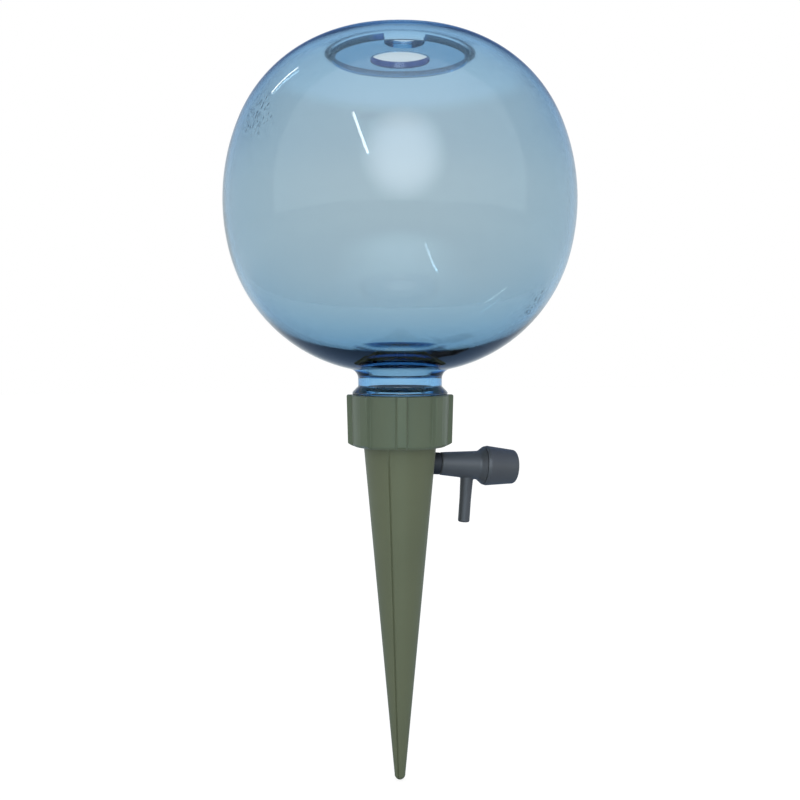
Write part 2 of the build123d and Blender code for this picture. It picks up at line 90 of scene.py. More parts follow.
scene = bpy.context.scene
aim = Vector((0, 0, AIM_HEIGHT))
lens = bpy.data.cameras.new("camera")
lens.sensor_width = SENSOR_WIDTH
lens.lens = FOCAL_PIXELS / IMAGE_PIXELS * SENSOR_WIDTH
lens.clip_start = NEAREST
camera = bpy.data.objects.new("camera", lens)
aimed(camera, aim + towards(CAMERA_BEARING, CAMERA_RISE) * CAMERA_DISTANCE, aim)
scene.collection.objects.link(camera)
scene.camera = camera
scene.view_settings.view_transform = "Standard"
print(f"camera with a {lens.lens:.1f} mm lens, {CAMERA_DISTANCE:.3f} m away")

# %% [markdown]
# ## Writing node trees as formulas
# Materials and Geometry Nodes are both trees of small steps. Wiring them by hand takes many lines, so
# a short class wraps an output socket and lets ordinary arithmetic add the Math nodes. Every other
# node comes from one method, which takes the node's type, its settings and what goes into its sockets.


# %% Node tree helpers
class Value:
    """An output socket. Arithmetic with it adds Math nodes to the tree that it belongs to."""

    def __init__(self, recipe, socket):
        self.recipe = recipe
        self.socket = socket

    def math(self, operation, *terms):
        return self.recipe.add("ShaderNodeMath", {"operation": operation}, dict(enumerate(terms)))[0]

    def __add__(self, other):
        return self.math("ADD", self, other)

    def __radd__(self, other):
        return self.math("ADD", other, self)

    def __sub__(self, other):
        return self.math("SUBTRACT", self, other)

    def __rsub__(self, other):
        return self.math("SUBTRACT", other, self)

    def __mul__(self, other):
        return self.math("MULTIPLY", self, other)

    def __rmul__(self, other):
        return self.math("MULTIPLY", other, self)

    def __truediv__(self, other):
        return self.math("DIVIDE", self, other)

    def __rtruediv__(self, other):
        return self.math("DIVIDE", other, self)

    def __abs__(self):
        return self.math("ABSOLUTE", self)

    def floor(self):
        return self.math("FLOOR", self)

    def cos(self):
        return self.math("COSINE", self)

    def sin(self):
        return self.math("SINE", self)

    def wrapped(self, half_span):
        """The value folded into the span from minus half_span to half_span."""
        return self.math("WRAP", self, half_span, -1 * half_span)

    def eased(self, start, end):
        """0 where the value is at start, 1 where it is at end, and a smooth step between."""
        sockets = {"Value": self, "From Min": start, "From Max": end, "To Min": 0.0, "To Max": 1.0}
        return self.recipe.add("ShaderNodeMapRange", {"interpolation_type": "SMOOTHSTEP"}, sockets)[0]


class Outputs:
    """The outputs of one node, by name or by number."""

    def __init__(self, recipe, node):
        self.recipe = recipe
        self.node = node

    def __getitem__(self, key):
        return Value(self.recipe, self.node.outputs[key])


class Recipe:
    """A node tree that grows one step at a time."""

    def __init__(self, tree):
        self.tree = tree

    def add(self, kind, settings=None, sockets=None):
        node = self.tree.nodes.new(kind)
        for name, setting in (settings or {}).items():
            setattr(node, name, setting)
        for key, value in (sockets or {}).items():
            if isinstance(value, Value):
                self.tree.links.new(value.socket, node.inputs[key])
            else:
                node.inputs[key].default_value = value
        return Outputs(self, node)

    def blend(self, share, first, second):
        """A colour between two colours."""
        sockets = {0: share, 6: first, 7: second}
        return self.add("ShaderNodeMix", {"data_type": "RGBA"}, sockets)[2]

    def distance(self, place, spot):
        """How far each place is from one spot."""
        return self.add("ShaderNodeVectorMath", {"operation": "DISTANCE"}, {0: place, 1: spot})["Value"]

    def noise(self, place, scale, detail):
        """Cloudy values round 0.5, finer for a larger scale."""
        return self.add("ShaderNodeTexNoise", {}, {"Vector": place, "Scale": scale, "Detail": detail})[0]


def new_finish(name, describe):
    """A material whose nodes are written by a function."""
    finish = bpy.data.materials.new(name)
    finish.use_nodes = True
    finish.node_tree.nodes.clear()
    describe(Recipe(finish.node_tree))
    return finish


# %% [markdown]
# ## Light and background
# Clear plastic has almost no colour of its own: it shows what is behind it and what it mirrors. So
# there are three kinds of light here. Rays that the camera sends past the object or through it meet
# plain white. Rays that light the parts meet an even grey, at a level where a colour renders about as
# it is written. And rays that a shiny surface mirrors meet a simple room: pale walls, a dark blue
# ceiling with a soft light in it, a brighter half behind the camera and a soft round window there. Two
# narrow lamps add the bright streaks. The ball's far wall is a hollow mirror, so it shows each lamp
# again, upside down.

# %% World and lamps
WHITE = (1, 1, 1, 1)
WORLD_LIGHT = 0.9                      # what falls on the parts
WALLS = (0.62, 0.69, 0.74, 1)          # the room's walls, as mirrored in a shiny surface
CEILING = (0.1, 0.2, 0.45, 1)          # what lies above them, in the ball's own blue light
CEILING_EDGE = (0.5, 0.1)              # sines of the rises where it begins to fade and where it is gone
LAMP_GLOW = 0.45                       # a soft light in the ceiling, in front of the object
LAMP_RISE = math.radians(62)
LAMP_SPREAD = math.radians(42)
ROOM_TINT = (0.88, 0.98, 1.06, 1)      # colour of the bright places
FRONT_GLOW = 0.5                       # how much brighter the half behind the camera is
FRONT_EDGE = (0.06, 0.14)              # cosines, to the camera's direction, between which that half begins
WINDOW_GLOW = 4.0                      # a soft window behind the camera, at its brightest
WINDOW_BEARING = math.radians(-12)
WINDOW_RISE = math.radians(21)
WINDOW_SPREAD = math.radians(28)
LAMP_DISTANCE = 1.2
GLOBE_RADIUS = 59.8 * MM


def sees_background(recipe):
    """Two switches: 1 for rays that show the background, straight or through something clear, and 1 for
    rays that a shiny surface mirrors."""
    path = recipe.add("ShaderNodeLightPath")
    shown = path["Is Camera Ray"] + path["Is Transmission Ray"]
    shown = shown.math("MINIMUM", shown, 1.0)
    return shown, path["Is Glossy Ray"]


def along(recipe, way, bearing, rise):
    """How closely a direction agrees with one at a bearing and a rise, from -1 to 1."""
    sockets = {0: way, 1: towards(bearing, rise)}
    return recipe.add("ShaderNodeVectorMath", {"operation": "DOT_PRODUCT"}, sockets)["Value"]


def soft_spot(recipe, way, bearing, rise, spread):
    """1 in the middle of a round spot in the room, fading to 0 at its edge."""
    return along(recipe, way, bearing, rise).eased(math.cos(spread), 1.0)


def white_room():
    world = bpy.data.worlds.new("white_room")
    world.use_nodes = True
    world.node_tree.nodes.clear()
    recipe = Recipe(world.node_tree)
    shown, mirrored = sees_background(recipe)
    way = recipe.add("ShaderNodeTexCoord")["Generated"]
    rise = abs(recipe.add("ShaderNodeSeparateXYZ", {}, {0: way})["Z"])
    window = WINDOW_GLOW * soft_spot(recipe, way, WINDOW_BEARING, WINDOW_RISE, WINDOW_SPREAD)
    front = FRONT_GLOW * along(recipe, way, CAMERA_BEARING, CAMERA_RISE).eased(*FRONT_EDGE)
    lamp = LAMP_GLOW * soft_spot(recipe, way, CAMERA_BEARING, LAMP_RISE, LAMP_SPREAD)
    bright = window + front + lamp
    mirrored = mirrored * (1.0 - shown)
    walls = recipe.blend(rise.eased(*CEILING_EDGE), CEILING, WALLS)
    plain = shown + (1.0 - shown - mirrored) * WORLD_LIGHT
    white = recipe.add("ShaderNodeBackground", {}, {"Color": WHITE, "Strength": plain})
    dim = recipe.add("ShaderNodeBackground", {}, {"Color": walls, "Strength": mirrored})
    glow = recipe.add("ShaderNodeBackground", {}, {"Color": ROOM_TINT, "Strength": mirrored * bright})
    room = recipe.add("ShaderNodeAddShader", {}, {0: white[0], 1: dim[0]})
    room = recipe.add("ShaderNodeAddShader", {}, {0: room[0], 1: glow[0]})
    recipe.add("ShaderNodeOutputWorld", {}, {"Surface": room[0]})
    scene.world = world


def soft_lamp(name, bearing, rise, size, brightness, roll):
    """Rectangular lamp aimed at the ball, turned by roll about its own axis. Angles are in degrees, and
    brightness is how many times whiter than white the lamp looks."""
    lamp = bpy.data.lights.new(name, "AREA")
    lamp.shape = "RECTANGLE"
    lamp.size, lamp.size_y = size
    lamp.energy = brightness * math.pi * size[0] * size[1]
    holder = bpy.data.objects.new(name, lamp)
    ball = Vector((0, 0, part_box("reservoir_globe")[1].z - GLOBE_RADIUS))
    aimed(holder, ball + towards(math.radians(bearing), math.radians(rise)) * LAMP_DISTANCE, ball)
    holder.rotation_euler.rotate_axis("Z", math.radians(roll))
    scene.collection.objects.link(holder)


globe_low, globe_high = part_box("reservoir_globe")
spike_low, spike_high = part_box("ground_spike")
white_room()
soft_lamp("window_strip", bearing=-40, rise=31, size=(0.028, 0.52), brightness=9.0, roll=30)
soft_lamp("far_strip", bearing=-136, rise=43, size=(0.03, 0.26), brightness=7.0, roll=12)
print(f"a white room and two strip lamps, {LAMP_DISTANCE} m from the ball")

# %% [markdown]
# The floor lies under the tip of the spike. It is white to the camera and still takes a faint shadow:
# most of its brightness is its own, and the rest comes from the light that falls on it. A shiny surface
# mirrors it as part of the room, with painted light on it: a painted dark blue glow round the spike, for
# the ball's blue light on the floor, as bright as the walls further off, so that no line shows between
# them, and a painted bright patch of light in front of the object.

# %% Floor
FLOOR_SIZE = 6.0
FLOOR_GLOW = 0.8                       # its own share of the white that the camera sees
FLOOR_SHADED = (0.3, 0.3, 0.3, 1)      # the share that a shadow takes away
FLOOR_MATT = (0.8, 0.8, 0.8, 1)        # the floor as it lights the parts
FLOOR_PAINTED_BLUE_LIGHT = (0.1, 0.2, 0.38, 1)       # painted blue light from the ball, as a shiny surface mirrors the floor round the spike
FLOOR_FADE = 1.0                       # where it has grown as bright as the walls
PAINTED_PATCH_AWAY = 0.36                      # a painted bright patch of light, towards the camera
PAINTED_PATCH_RADIUS = 0.3
PAINTED_PATCH_GLOW = (1.3, 1.9, 2.3, 1)


def white_floor(recipe):
    place = recipe.add("ShaderNodeTexCoord")["Object"]
    under = Vector((0, 0, spike_low.z))
    # painted light for mirrored rays: the ball's blue light round the spike, fading into the walls
    far = recipe.distance(place, under).eased(0.0, FLOOR_FADE)
    mirrored_and_painted_tone = recipe.blend(far, FLOOR_PAINTED_BLUE_LIGHT, WALLS)
    # a painted bright patch of light on the floor in front of the object
    painted_patch = towards(CAMERA_BEARING, 0) * PAINTED_PATCH_AWAY + under
    mirrored_and_painted_tone = recipe.blend(recipe.distance(place, painted_patch).eased(PAINTED_PATCH_RADIUS, 0.0), mirrored_and_painted_tone, PAINTED_PATCH_GLOW)
    dim = recipe.add("ShaderNodeEmission", {}, {"Color": mirrored_and_painted_tone, "Strength": 1.0})
    matt = recipe.add("ShaderNodeBsdfDiffuse", {}, {"Color": FLOOR_MATT})
    faint = recipe.add("ShaderNodeBsdfDiffuse", {}, {"Color": FLOOR_SHADED})
    glow = recipe.add("ShaderNodeEmission", {}, {"Color": WHITE, "Strength": FLOOR_GLOW})
    white = recipe.add("ShaderNodeAddShader", {}, {0: faint[0], 1: glow[0]})
    shown, mirrored = sees_background(recipe)
    matt = recipe.add("ShaderNodeMixShader", {}, {0: mirrored, 1: matt[0], 2: dim[0]})
    both = recipe.add("ShaderNodeMixShader", {}, {0: shown, 1: matt[0], 2: white[0]})
    recipe.add("ShaderNodeOutputMaterial", {}, {"Surface": both[0]})


def floor():
    mesh = bpy.data.meshes.new("floor")
    half = FLOOR_SIZE / 2
    square = ((-half, -half), (half, -half), (half, half), (-half, half))
    mesh.from_pydata([(x, y, spike_low.z) for x, y in square], [], [(0, 1, 2, 3)])
    mesh.materials.append(new_finish("white_floor", white_floor))
    ground = bpy.data.objects.new("floor", mesh)
    scene.collection.objects.link(ground)


floor()
print(f"floor at {spike_low.z:.3f} m, ball of {2 * GLOBE_RADIUS:.4f} m")

# %% [markdown]
# ## Finishes
# The ball and its lid are blown and moulded from clear plastic that is dyed right through. A coloured
# surface would tint thick and thin walls alike, so the colour is put inside the plastic, as absorption:
# the thin wall stays pale, and the thick neck, rim and lid turn a deep blue, as they do in reality.
# Its surface is not perfect either: a thin film of dust and lime lies on the ball's wall, handling has
# left groups of small scuffs, and blowing has left a very slight waviness.


# %% Clear blue plastic
def colour(red, green, blue):
    """A display colour from 0 to 255, as the linear numbers that shaders use."""
    shares = [c / 255 for c in (red, green, blue)]
    linear = [s / 12.92 if s <= 0.04045 else ((s + 0.055) / 1.055) ** 2.4 for s in shares]
    return (*linear, 1.0)


PLASTIC_IOR = 1.57
PLASTIC_ROUGHNESS = 0.015
HAZE_ROUGHNESS = 0.02                  # added where the surface is hazy
HAZE_SCALE = 60.0
WAVE_SCALE = 28.0                      # the slight waviness left by blowing
WAVE_HEIGHT = 0.4 * MM
WAVE_STRENGTH = 0.25
ABSORPTION = (215.0, 106.0, 44.0)      # red, green and blue light taken away per metre of plastic
LID_DYE = 2.0                          # the lid is moulded with more dye
FILM = (0.90, 0.845, 0.80, 1)          # light left after the film of dust and lime on a wall
FILM_LOW = (62 * MM, 68 * MM)          # the film grows over these heights
FILM_HIGH = (166 * MM, 160 * MM)       # and over these, from the top down
SCUFF_GROUPS = (                       # bearing and height on the ball, and how far the group spreads
    (-155, 143 * MM, 15 * MM),
    (-28, 160 * MM, 9 * MM),
    (-42, 86 * MM, 10 * MM),
)
SCUFF_CORE = 0.2                       # share of a group's spread over which it is densest
SCUFF_TURN = (0.5, 0.9, 0.3)           # direction of the fine streaks
SCUFF_STRETCH = (1, 3, 1)
SCUFF_SCALE = 520.0
SCUFF_EDGE = (0.57, 0.66)              # noise from which a mark begins, and at which it is full
SCUFF_TONE = colour(96, 102, 110)
SCUFF_STRENGTH = 0.7
SCUFF_ROUGHNESS = 0.35
EQUATOR_RISE = 65.2 * MM               # collar's top up to the widest circle of the ball
EQUATOR = spike_high.z + EQUATOR_RISE


def scuffs(recipe, place):
    """Small dark marks in a few groups on the ball: fine streaks of noise, kept to round patches."""
    near = 0.0
    for bearing, height, spread in SCUFF_GROUPS:
        level = math.sqrt(max(GLOBE_RADIUS ** 2 - (height - EQUATOR) ** 2, 0))
        turn = math.radians(bearing)
        spot = (level * math.cos(turn), level * math.sin(turn), height)
        near = recipe.distance(place, spot).eased(spread, SCUFF_CORE * spread) + near
    sockets = {"Vector": place, "Rotation": SCUFF_TURN, "Scale": SCUFF_STRETCH}
    streaks = recipe.add("ShaderNodeMapping", {}, sockets)[0]
    return recipe.noise(streaks, SCUFF_SCALE, 4.0).eased(*SCUFF_EDGE) * near


def clear_blue(recipe, dye_strength=1.0):
    place = recipe.add("ShaderNodeTexCoord")["Object"]
    marks = scuffs(recipe, place)
    haze = recipe.noise(place, HAZE_SCALE, 5.0)
    waves = recipe.noise(place, WAVE_SCALE, 1.0)
    sockets = {"Strength": WAVE_STRENGTH, "Distance": WAVE_HEIGHT, "Height": waves}
    bump = recipe.add("ShaderNodeBump", {}, sockets)
    strongest = max(ABSORPTION)
    dye = [1 - part / strongest for part in ABSORPTION]
    sockets = {"Color": (*dye, 1), "Density": strongest * dye_strength}
    inside = recipe.add("ShaderNodeVolumeAbsorption", {}, sockets)
    height = recipe.add("ShaderNodeSeparateXYZ", {}, {0: place})["Z"]
    dusty = height.eased(*FILM_LOW) * height.eased(*FILM_HIGH)
    film = recipe.blend(dusty, WHITE, FILM)
    surface = recipe.add("ShaderNodeBsdfPrincipled", {}, {
        "Base Color": recipe.blend(marks * SCUFF_STRENGTH, film, SCUFF_TONE),
        "Roughness": PLASTIC_ROUGHNESS + HAZE_ROUGHNESS * haze + SCUFF_ROUGHNESS * marks,
        "Transmission Weight": 1.0,
        "IOR": PLASTIC_IOR,
        "Normal": bump[0],
    })
    recipe.add("ShaderNodeOutputMaterial", {}, {"Surface": surface[0], "Volume": inside[0]})


def deep_blue(recipe):
    clear_blue(recipe, LID_DYE)


clear_plastic = new_finish("clear_blue", clear_blue)
lid_plastic = new_finish("deep_clear_blue", deep_blue)
print("clear plastic takes away per mm:", [round(part * MM, 3) for part in ABSORPTION])

# %% [markdown]
# The green and grey pieces are ordinary moulded plastic with a satin skin. What makes such a surface
# real is slight: a cloudy change of tone from the flow of the melt, a fine grain that breaks up the
# shine, and a little more gloss on the collar, where fingers rub it. They come from noise and height in
# the piece's own coordinates, so they stay put from every side. The rubber is duller and nearly black.

# %% Moulded plastic and rubber
SPIKE_TOP = 37.5 * MM                  # soil line up to the collar
COLLAR_GLOSS = 0.12                    # how much smoother the collar is than the spike
COLLAR_BLEND = 1 * MM                  # half the height over which the one turns into the other
CLOUD_SCALE = 55.0
CLOUD_EDGE = (0.3, 0.7)                # noise at which the first tone ends and the second is full
CLOUD_ROUGHNESS = 0.12
GRAIN_SCALE = 2600.0
GRAIN_HEIGHT = 0.05 * MM
GRAIN_ROUGHNESS = 0.06
SHEEN_ROUGHNESS = 0.3
MEAN = 0.5                             # middle of the noise


def moulded(recipe, tone, cloud_tone, roughness, grain, shine=0.5, sheen=0.0):
    """Satin plastic or rubber: clouded tone, fine grain and a shine that changes a little."""
    place = recipe.add("ShaderNodeTexCoord")["Object"]
    clouds = recipe.noise(place, CLOUD_SCALE, 4.0)
    specks = recipe.noise(place, GRAIN_SCALE, 2.0)
    bump = recipe.add("ShaderNodeBump", {}, {"Strength": grain, "Distance": GRAIN_HEIGHT, "Height": specks})
    surface = recipe.add("ShaderNodeBsdfPrincipled", {}, {
        "Base Color": recipe.blend(clouds.eased(*CLOUD_EDGE), tone, cloud_tone),
        "Roughness": roughness + CLOUD_ROUGHNESS * (clouds - MEAN) + GRAIN_ROUGHNESS * (specks - MEAN),
        "Specular IOR Level": shine,
        "Sheen Weight": sheen,
        "Sheen Roughness": SHEEN_ROUGHNESS,
        "Normal": bump[0],
    })
    recipe.add("ShaderNodeOutputMaterial", {}, {"Surface": surface[0]})


def green_plastic(recipe):
    """The spike's green: the collar, which is handled, is a little glossier, and its green is a little
    cooler with painted blue light from the ball.
    """
    place = recipe.add("ShaderNodeTexCoord")["Object"]
    height = recipe.add("ShaderNodeSeparateXYZ", {}, {0: place})["Z"]
    # collar mask: real gloss from handling, and a cooler green that is painted blue light from the ball
    collar = height.eased(SPIKE_TOP - COLLAR_BLEND, SPIKE_TOP + COLLAR_BLEND)
    # the collar's cooler tones are painted blue light from the ball
    tone = recipe.blend(collar, colour(103, 111, 85), colour(99, 112, 90))
    cloud_tone = recipe.blend(collar, colour(100, 108, 83), colour(96, 109, 88))
    roughness = 0.5 - COLLAR_GLOSS * collar
    moulded(recipe, tone, cloud_tone, roughness, grain=0.2, shine=0.4, sheen=0.2)


def grey_plastic(recipe):
    moulded(recipe, colour(77, 82, 87), colour(73, 77, 82), roughness=0.44, grain=0.25)


def black_rubber(recipe):
    moulded(recipe, colour(34, 38, 43), colour(30, 33, 38), roughness=0.62, grain=0.4)


green = new_finish("moulded_green", green_plastic)
grey = new_finish("moulded_grey", grey_plastic)
rubber = new_finish("dull_rubber", black_rubber)
print("moulded finishes:", ", ".join(finish.name for finish in (green, grey, rubber)))

# %% [markdown]
# ## Shapes from a lathe
# The ball, the lid and the spike are round, so each is one outline turned about the axis. Blender's
# Screw modifier could do that, but a small Geometry Nodes tree can do more: it lays out a grid with one
# row for each point of the outline, bends every row into a circle, and on the way adds the collar's
# grip ribs and the fine mould seams wherever the outline's own weights ask for them.


# %% Lathe tree
WELD = 0.002 * MM                      # points closer than this become one


def group_inputs(tree, kinds):
    """Gives a Geometry Nodes tree its inputs and its one output, and returns the inputs' identifiers."""
    face = tree.interface
    ids = {}
    for name, kind in kinds.items():
        socket = face.new_socket(name=name, in_out="INPUT", socket_type=f"NodeSocket{kind}")
        ids[name] = socket.identifier
    face.new_socket(name="Geometry", in_out="OUTPUT", socket_type="NodeSocketGeometry")
    return ids


def outline_value(recipe, outline, row, kind, source):
    """What the outline's point number row holds: its position or a named weight."""
    sockets = {"Geometry": outline, "Value": source, "Index": row}
    return recipe.add("GeometryNodeSampleIndex", {"data_type": kind, "domain": "POINT"}, sockets)[0]


def named_weight(recipe, name):
    return recipe.add("GeometryNodeInputNamedAttribute", {"data_type": "FLOAT"}, {"Name": name})[0]


def outline_grid(recipe, outline, columns):
    """A grid with one row for each point of an outline. Also gives each grid point's row, its column, and
    the row's outline point as separate X, Y and Z."""
    count = recipe.add("GeometryNodeAttributeDomainSize", {"component": "MESH"}, {"Geometry": outline})[0]
    grid = recipe.add("GeometryNodeMeshGrid", {}, {"Vertices X": count, "Vertices Y": columns})[0]
    number = recipe.add("GeometryNodeInputIndex")[0]
    row = ((number + 0.5) / columns).floor()
    position = recipe.add("GeometryNodeInputPosition")[0]
    point = outline_value(recipe, outline, row, "FLOAT_VECTOR", position)
    return grid, row, number - row * columns, recipe.add("ShaderNodeSeparateXYZ", {}, {0: point})


def finish_tree(recipe, shape, reach, turn, height, finish):
    """Moves the grid's points to their reach from the axis, turn round it and height, closes seams and
    poles, and gives the result its material."""
    sockets = {0: reach * turn.cos(), 1: reach * turn.sin(), 2: height}
    place = recipe.add("ShaderNodeCombineXYZ", {}, sockets)[0]
    shape = recipe.add("GeometryNodeSetPosition", {}, {"Geometry": shape, "Position": place})[0]
    shape = recipe.add("GeometryNodeMergeByDistance", {}, {"Geometry": shape, "Distance": WELD})[0]
    shape = recipe.add("GeometryNodeRealizeInstances", {}, {"Geometry": shape})[0]
    shape = recipe.add("GeometryNodeSetMaterial", {}, {"Geometry": shape, "Material": finish})[0]
    recipe.add("NodeGroupOutput", {}, {0: shape})


def lathe():
    tree = bpy.data.node_groups.new("lathe", "GeometryNodeTree")
    ids = group_inputs(tree, {
        "Outline": "Geometry", "Steps": "Int", "Material": "Material",
        "Rib Count": "Int", "Rib Bearing": "Float", "Rib Height": "Float",
        "Rib Crest": "Float", "Rib Foot": "Float",
        "Seam Bearing": "Float", "Seam Depth": "Float",
    })
    recipe = Recipe(tree)
    given = recipe.add("NodeGroupInput")
    outline = given["Outline"]
    grid, row, column, point = outline_grid(recipe, outline, given["Steps"] + 1)
    turn = column / given["Steps"] * math.tau
    reach = point["X"]
    rib_weight = outline_value(recipe, outline, row, "FLOAT", named_weight(recipe, "rib"))
    seam_weight = outline_value(recipe, outline, row, "FLOAT", named_weight(recipe, "seam"))
    rib_aside = abs((turn - given["Rib Bearing"]).wrapped(math.pi / given["Rib Count"])) * reach
    rib = rib_aside.eased(given["Rib Foot"] * 0.5, given["Rib Crest"] * 0.5) * given["Rib Height"]
    seam_aside = abs((turn - given["Seam Bearing"]).wrapped(math.pi / 2)) * reach
    seam = seam_aside.eased(given["Seam Depth"], 0.0) * given["Seam Depth"]
    reach = reach + rib_weight * rib - seam_weight * seam
    finish_tree(recipe, grid, reach, turn, point["Z"], given["Material"])
    return tree, ids


lathe_tree, lathe_ids = lathe()
print("lathe tree with", len(lathe_tree.nodes), "nodes")

# %% [markdown]
# An outline is a list of points, each a distance from the axis and a height. Real mouldings have no
# knife edges, so corners are given with a rounding, and a helper puts a small arc in place of each.
# It also sets a guard point next to the arc, which keeps the flat faces beside it flat in the shading.

# %% Outlines and plain meshes
GUARD = 0.15                           # how far the guard point lies from an arc, as a share of its radius
ARC_STEP = 2.0                         # degrees between the points of a large arc
SMOOTH_UP_TO = math.radians(32)        # edges with a sharper bend stay sharp


def rounded(corners, bends=5):
    """Outline through (radius, height, rounding) corners, with an arc in place of each rounded one."""
    points = []
    for i, (reach, height, rounding) in enumerate(corners):
        here = Vector((reach, height))
        if rounding == 0:
            points.append(here)
            continue
        back = (Vector(corners[i - 1][:2]) - here).normalized()
        ahead = (Vector(corners[(i + 1) % len(corners)][:2]) - here).normalized()
        half = back.angle(ahead) / 2
        centre = here + (back + ahead).normalized() * (rounding / math.sin(half))
        start = here + back * (rounding / math.tan(half))
        end = here + ahead * (rounding / math.tan(half))
        points.append(start + back * (rounding * GUARD))
        for bend in range(bends + 1):
            spoke = (start - centre).lerp(end - centre, bend / bends).normalized()
            points.append(centre + spoke * rounding)
        points.append(end + ahead * (rounding * GUARD))
    return points


def on_circle(centre, radius, degrees):
    """Point on a circle of an outline."""
    turn = math.radians(degrees)
    return Vector((centre[0] + radius * math.cos(turn), centre[1] + radius * math.sin(turn)))


def arc(centre, radius, start, end):
    """Points along an arc of an outline, between two angles in degrees."""
    count = max(2, math.ceil(abs(end - start) / ARC_STEP))
    return [on_circle(centre, radius, start + (end - start) * i / count) for i in range(count + 1)]


def plain_mesh(holder, name):
    """What an object's modifiers give, as a plain mesh with its faces outwards; the object is removed."""
    graph = bpy.context.evaluated_depsgraph_get()
    mesh = bpy.data.meshes.new_from_object(holder.evaluated_get(graph), depsgraph=graph)
    mesh.name = name
    bpy.data.objects.remove(holder)
    shape = bmesh.new()
    shape.from_mesh(mesh)
    if shape.calc_volume(signed=True) < 0:
        bmesh.ops.reverse_faces(shape, faces=shape.faces)
    shape.to_mesh(mesh)
    shape.free()
    finish = mesh.materials[-1]
    mesh.materials.clear()
    mesh.materials.append(finish)
    mesh.shade_smooth()
    mesh.set_sharp_from_angle(angle=SMOOTH_UP_TO)
    return mesh


def shaped(name, points, weights, tree, ids, settings):
    """Runs a Geometry Nodes tree on an outline and returns the plain mesh."""
    outline = bpy.data.meshes.new(f"{name}_outline")
    outline.from_pydata([(reach, 0, height) for reach, height in points], [], [])
    for weight in ("rib", "seam"):
        layer = outline.attributes.new(weight, "FLOAT", "POINT")
        layer.data.foreach_set("value", weights.get(weight, [0.0] * len(points)))
    holder = bpy.data.objects.new(name, outline)
    scene.collection.objects.link(holder)
    modifier = holder.modifiers.new(name, "NODES")
    modifier.node_group = tree
    for key, setting in settings.items():
        modifier[ids[key]] = setting
    return plain_mesh(holder, name)


def turned(name, points, finish, steps, weights=None, **extra):
    """A piece turned on the lathe; an outline that doesn't start on the axis is closed to a ring."""
    points = list(points)
    if points[0].x > 0:
        points.append(points[0])
    settings = {"Steps": steps, "Material": finish, "Rib Count": 1}
    settings.update({key.replace("_", " ").title(): size for key, size in extra.items()})
    return shaped(name, points, weights or {}, lathe_tree, lathe_ids, settings)


def combined(mesh, other, operation):
    """A mesh joined with another one or cut by it."""
    holder = bpy.data.objects.new("whole", mesh)
    tool = bpy.data.objects.new("tool", other)
    for thing in (holder, tool):
        scene.collection.objects.link(thing)
    cut = holder.modifiers.new("cut", "BOOLEAN")
    cut.operation = operation
    cut.solver = "EXACT"
    cut.object = tool
    result = plain_mesh(holder, mesh.name)
    bpy.data.objects.remove(tool)
    return result


def piece(name, mesh, body, node):
    """Puts a finished mesh in the scene, on a body, in place of a solid part."""
    thing = bpy.data.objects.new(name, mesh)
    scene.collection.objects.link(thing)
    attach(thing, body)
    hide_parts(node)
    print(f"{name}: {len(mesh.polygons)} faces, {len(mesh.materials)} material")


# %% [markdown]
# ## The screw thread
# The ball's neck and the collar carry the same coarse bottle thread: one ridge that climbs a wall.
# It follows a path, so it is a Geometry Nodes tree too: a grid whose rows are the corners of the
# ridge's section and whose columns climb a helix. At both ends the ridge sinks into its wall, as on a
# moulded bottle, which also closes the mesh.

# %% Thread tree
THREAD_PITCH = 3.18 * MM
THREAD_DEPTH = 1.2 * MM
THREAD_CLEARANCE = 0.25 * MM
THREAD_FLANK = math.radians(24.6)
THREAD_ROOT_OVERLAP = 0.3 * MM         # how far the ridge reaches into the wall that carries it
THREAD_TURNS = 2.0
THREAD_STEPS = 96                      # points to a turn
THREAD_FADE = 0.12                     # turns over which an end sinks into the wall


def thread():
    tree = bpy.data.node_groups.new("thread", "GeometryNodeTree")
    ids = group_inputs(tree, {
        "Section": "Geometry", "Material": "Material", "Turns": "Float", "Pitch": "Float",
        "First Height": "Float", "Foot": "Float", "Fade": "Float", "Steps": "Int",
    })
    recipe = Recipe(tree)
    given = recipe.add("NodeGroupInput")
    grid, _, column, corner = outline_grid(recipe, given["Section"], given["Steps"] * given["Turns"] + 1)
    turns = column / given["Steps"]
    full = turns.eased(0.0, given["Fade"]) * turns.eased(given["Turns"], given["Turns"] - given["Fade"])
    reach = given["Foot"] + (corner["X"] - given["Foot"]) * full
    height = given["First Height"] + turns * given["Pitch"] + corner["Z"] * full
    finish_tree(recipe, grid, reach, turns * math.tau, height, given["Material"])
    return tree, ids


thread_tree, thread_ids = thread()
print("thread tree with", len(thread_tree.nodes), "nodes")


def ridge(name, wall_radius, side, first_height, finish):
    """A thread on a wall: side is 1 outside the wall and -1 inside it."""
    slope = math.tan(THREAD_FLANK)
    span = THREAD_PITCH / 2 - THREAD_CLEARANCE + slope * (THREAD_DEPTH + THREAD_CLEARANCE)
    half_foot = span / 2 + slope * THREAD_ROOT_OVERLAP
    half_crest = span / 2 - slope * THREAD_DEPTH
    foot = wall_radius - side * THREAD_ROOT_OVERLAP
    crest = wall_radius + side * THREAD_DEPTH
    corners = [(foot, -half_foot), (crest, -half_crest), (crest, half_crest), (foot, half_foot)]
    corners.append(corners[0])
    settings = {
        "Material": finish, "Turns": THREAD_TURNS, "Pitch": THREAD_PITCH, "First Height": first_height,
        "Foot": foot, "Fade": THREAD_FADE, "Steps": THREAD_STEPS,
    }
    return shaped(name, corners, {}, thread_tree, thread_ids, settings)


# %% [markdown]
# ## The ball
# The ball is blown in a mould, so it isn't a perfect sphere: its outline is three arcs that run
# smoothly into each other, wide at the belt, tighter above and below. The wall is thin, and it thickens
# towards the crown, where the lid's seat was formed, and into the neck, which was moulded first.

